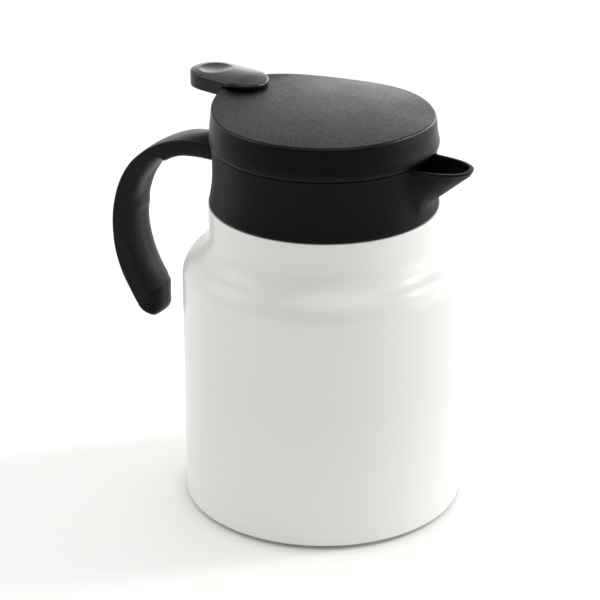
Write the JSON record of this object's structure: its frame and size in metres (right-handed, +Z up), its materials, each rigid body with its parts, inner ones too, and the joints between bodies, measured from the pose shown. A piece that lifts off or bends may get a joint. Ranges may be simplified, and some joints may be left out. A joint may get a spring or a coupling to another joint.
{
  "type": "thermal carafe",
  "caption": "Double-wall steel thermal carafe with a black spout collar, open hook handle and quarter-turn lid whose thumb lever lifts a sprung pouring valve.",
  "frame": {"origin": "on the floor under the vessel's axis, at the centre of the base pad's underside", "axes": "+Z up along the vessel's axis, +X towards the spout, -X towards the handle"},
  "size_m": [0.1642, 0.116, 0.1736],
  "materials": {
    "body_paint": "satin off-white powder coat",
    "steel": "brushed stainless steel",
    "fastener_steel": "plain stainless steel",
    "collar_plastic": "fine-textured black polypropylene",
    "grip_plastic": "fine-textured black polypropylene",
    "lid_plastic": "spark-textured black polypropylene",
    "tab_plastic": "satin black plastic",
    "inner_plastic": "plain black polypropylene",
    "silicone": "translucent white silicone",
    "pad_rubber": "black rubber"
  },
  "bodies": {
    "vessel": {"outer_shell": "body_paint", "inner_flask": "steel", "base_plate": "steel", "vacuum_seal_cap": "steel", "base_pad": "pad_rubber", "spout_collar": "collar_plastic", "collar_gasket": "silicone", "handle_shell": "collar_plastic", "handle_grip_cover": "grip_plastic", "handle_screws": "fastener_steel"},
    "seal": {"lid_seal": "silicone"},
    "lid": {"lid_cover": "lid_plastic", "lid_base": "inner_plastic", "lid_bridge": "inner_plastic", "valve_seat": "inner_plastic", "lid_screws": "fastener_steel", "lever_pin": "fastener_steel", "stem_bush": "silicone", "valve_spring": "fastener_steel"},
    "lever": {"thumb_tab": "tab_plastic", "lever_arm": "inner_plastic"},
    "valve": {"valve_stem": "fastener_steel", "valve_disc": "inner_plastic", "valve_washer": "silicone", "stem_cap": "inner_plastic"}
  },
  "joints": [
    {"name": "lid_lift", "type": "slide", "parent": "vessel", "child": "seal", "axis": [0, 0, 1], "range_m": [0, 0.0061]},
    {"name": "lid_turn", "type": "hinge", "parent": "seal", "child": "lid", "pos_m": [0, 0, 0.15], "axis": [0, 0, 1], "range_deg": [0, 120]},
    {"name": "lever_press", "type": "hinge", "parent": "lid", "child": "lever", "pos_m": [-0.03632, 0.00706, 0.163], "axis": [-0.1908, -0.9816, 0], "range_deg": [0, 6.5], "stiffness_Nm_per_rad": 0.8, "springref_deg": -5.73},
    {"name": "valve_lift", "type": "slide", "parent": "lid", "child": "valve", "axis": [0, 0, 1], "range_m": [0, 0.0043], "deforming": ["valve_spring"]}
  ],
  "couplings": [
    {"joint": "lid_lift", "follows": "lid_turn", "m_per_rad": 0.0028648},
    {"joint": "valve_lift", "follows": "lever_press", "m_per_rad": 0.037}
  ]
}
